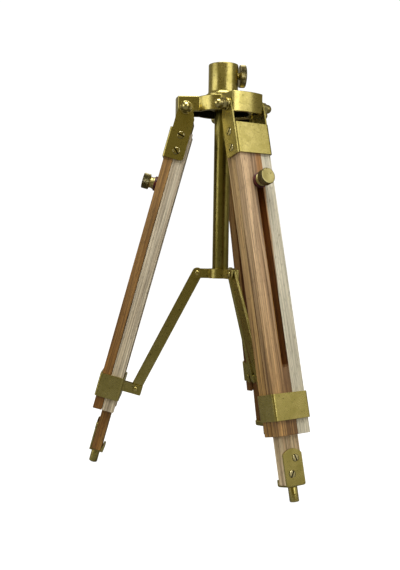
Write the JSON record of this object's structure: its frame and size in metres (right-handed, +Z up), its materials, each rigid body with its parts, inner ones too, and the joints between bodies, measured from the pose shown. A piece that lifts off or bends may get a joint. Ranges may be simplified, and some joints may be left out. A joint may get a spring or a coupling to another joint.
{
  "type": "telescope tripod",
  "caption": "Folding tabletop tripod in brass and wood with a socket cup, sliding leg extensions and a spreader hub.",
  "frame": {"origin": "centre of the object's box on the surface it stands on", "axes": "+Z up along the centre column, -X towards the left leg; the other two legs straddle +X at 60 degrees"},
  "size_m": [0.2079, 0.2336, 0.401],
  "materials": {
    "satin_brass": "satin antique brass with a fine speckle",
    "bright_brass": "brighter drawn and turned brass",
    "outer_wood": "oiled straight-grained wood, part heartwood and part sapwood",
    "rail_wood": "pale straight-grained wood",
    "extension_wood": "tan straight-grained wood",
    "red_fibre": "dark red vulcanised fibre"
  },
  "bodies": {
    "frame": {"head_casting": "satin_brass", "socket_cup": "satin_brass", "centre_column": "bright_brass", "column_nut": "satin_brass", "hinge_bolt_left": "bright_brass", "hinge_bolt_front": "bright_brass", "hinge_bolt_rear": "bright_brass", "hinge_nut_left": "bright_brass", "hinge_nut_front": "bright_brass", "hinge_nut_rear": "bright_brass"},
    "socket_clamp": {"socket_thumbscrew": "satin_brass"},
    "hub": {"spreader_hub": "satin_brass", "hub_pin_left": "bright_brass", "hub_pin_front": "bright_brass", "hub_pin_rear": "bright_brass"},
    "leg_left": {"bracket_left": "satin_brass", "outer_board_left": "outer_wood", "rail_a_left": "rail_wood", "rail_b_left": "rail_wood", "collar_left": "satin_brass", "clevis_pin_left": "bright_brass"},
    "extension_left": {"extension_left": "extension_wood", "foot_plate_left": "satin_brass", "foot_pin_left": "satin_brass", "foot_screw_1_left": "satin_brass", "foot_screw_2_left": "satin_brass"},
    "lock_left": {"leg_thumbscrew_left": "bright_brass", "fibre_washer_left": "red_fibre"},
    "arm_left": {"arm_left": "satin_brass"},
    "leg_front": {"bracket_front": "satin_brass", "outer_board_front": "outer_wood", "rail_a_front": "rail_wood", "rail_b_front": "rail_wood", "collar_front": "satin_brass", "clevis_pin_front": "bright_brass"},
    "extension_front": {"extension_front": "extension_wood", "foot_plate_front": "satin_brass", "foot_pin_front": "satin_brass", "foot_screw_1_front": "satin_brass", "foot_screw_2_front": "satin_brass"},
    "lock_front": {"leg_thumbscrew_front": "bright_brass", "fibre_washer_front": "red_fibre"},
    "arm_front": {"arm_front": "satin_brass"},
    "leg_rear": {"bracket_rear": "satin_brass", "outer_board_rear": "outer_wood", "rail_a_rear": "rail_wood", "rail_b_rear": "rail_wood", "collar_rear": "satin_brass", "clevis_pin_rear": "bright_brass"},
    "extension_rear": {"extension_rear": "extension_wood", "foot_plate_rear": "satin_brass", "foot_pin_rear": "satin_brass", "foot_screw_1_rear": "satin_brass", "foot_screw_2_rear": "satin_brass"},
    "lock_rear": {"leg_thumbscrew_rear": "bright_brass", "fibre_washer_rear": "red_fibre"},
    "arm_rear": {"arm_rear": "satin_brass"}
  },
  "joints": [
    {"name": "socket_clamp_turn", "type": "hinge", "parent": "frame", "child": "socket_clamp", "pos_m": [0.02679, 0, 0.39], "axis": [0.9903, 0.1392, 0], "range_deg": [-360, 360]},
    {"name": "leg_fold_left", "type": "hinge", "parent": "frame", "child": "leg_left", "pos_m": [-0.00941, 0, 0.35452], "axis": [0, -1, 0], "range_deg": [0, 13]},
    {"name": "leg_fold_front", "type": "hinge", "parent": "frame", "child": "leg_front", "pos_m": [0.04489, -0.03135, 0.35452], "axis": [0.866, 0.5, 0], "range_deg": [0, 13]},
    {"name": "leg_fold_rear", "type": "hinge", "parent": "frame", "child": "leg_rear", "pos_m": [0.04489, 0.03135, 0.35452], "axis": [-0.866, 0.5, 0], "range_deg": [0, 13]},
    {"name": "hub_slide", "type": "slide", "parent": "frame", "child": "hub", "axis": [0, 0, 1], "range_m": [-0.0005, 0.0135]},
    {"name": "arm_swing_left", "type": "hinge", "parent": "hub", "child": "arm_left", "pos_m": [0.00379, 0, 0.1942], "axis": [0, -1, 0], "range_deg": [-0.5, 29.27]},
    {"name": "arm_swing_front", "type": "hinge", "parent": "hub", "child": "arm_front", "pos_m": [0.03829, -0.01992, 0.1942], "axis": [0.866, 0.5, 0], "range_deg": [-0.5, 29.27]},
    {"name": "arm_swing_rear", "type": "hinge", "parent": "hub", "child": "arm_rear", "pos_m": [0.03829, 0.01992, 0.1942], "axis": [-0.866, 0.5, 0], "range_deg": [-0.5, 29.27]},
    {"name": "extension_slide_left", "type": "slide", "parent": "leg_left", "child": "extension_left", "axis": [-0.2639, 0, -0.9646], "range_m": [-0.002, 0.168]},
    {"name": "extension_slide_front", "type": "slide", "parent": "leg_front", "child": "extension_front", "axis": [0.1319, -0.2285, -0.9646], "range_m": [-0.002, 0.168]},
    {"name": "extension_slide_rear", "type": "slide", "parent": "leg_rear", "child": "extension_rear", "axis": [0.1319, 0.2285, -0.9646], "range_m": [-0.002, 0.168]},
    {"name": "lock_turn_left", "type": "hinge", "parent": "extension_left", "child": "lock_left", "pos_m": [-0.02978, 0, 0.28005], "axis": [-0.9646, 0, 0.2639], "range_deg": [0, 360]},
    {"name": "lock_turn_front", "type": "hinge", "parent": "extension_front", "child": "lock_front", "pos_m": [0.05508, -0.04899, 0.28005], "axis": [0.4823, -0.8353, 0.2639], "range_deg": [0, 360]},
    {"name": "lock_turn_rear", "type": "hinge", "parent": "extension_rear", "child": "lock_rear", "pos_m": [0.05508, 0.04899, 0.28005], "axis": [0.4823, 0.8353, 0.2639], "range_deg": [0, 360]}
  ],
  "couplings": [
    {"joint": "arm_swing_left", "follows": "leg_fold_left", "ratio": 2.2129},
    {"joint": "leg_fold_front", "follows": "leg_fold_left", "ratio": 1},
    {"joint": "arm_swing_front", "follows": "leg_fold_left", "ratio": 2.2129},
    {"joint": "leg_fold_rear", "follows": "leg_fold_left", "ratio": 1},
    {"joint": "arm_swing_rear", "follows": "leg_fold_left", "ratio": 2.2129},
    {"joint": "hub_slide", "follows": "leg_fold_left", "m_per_rad": 0.0564}
  ]
}
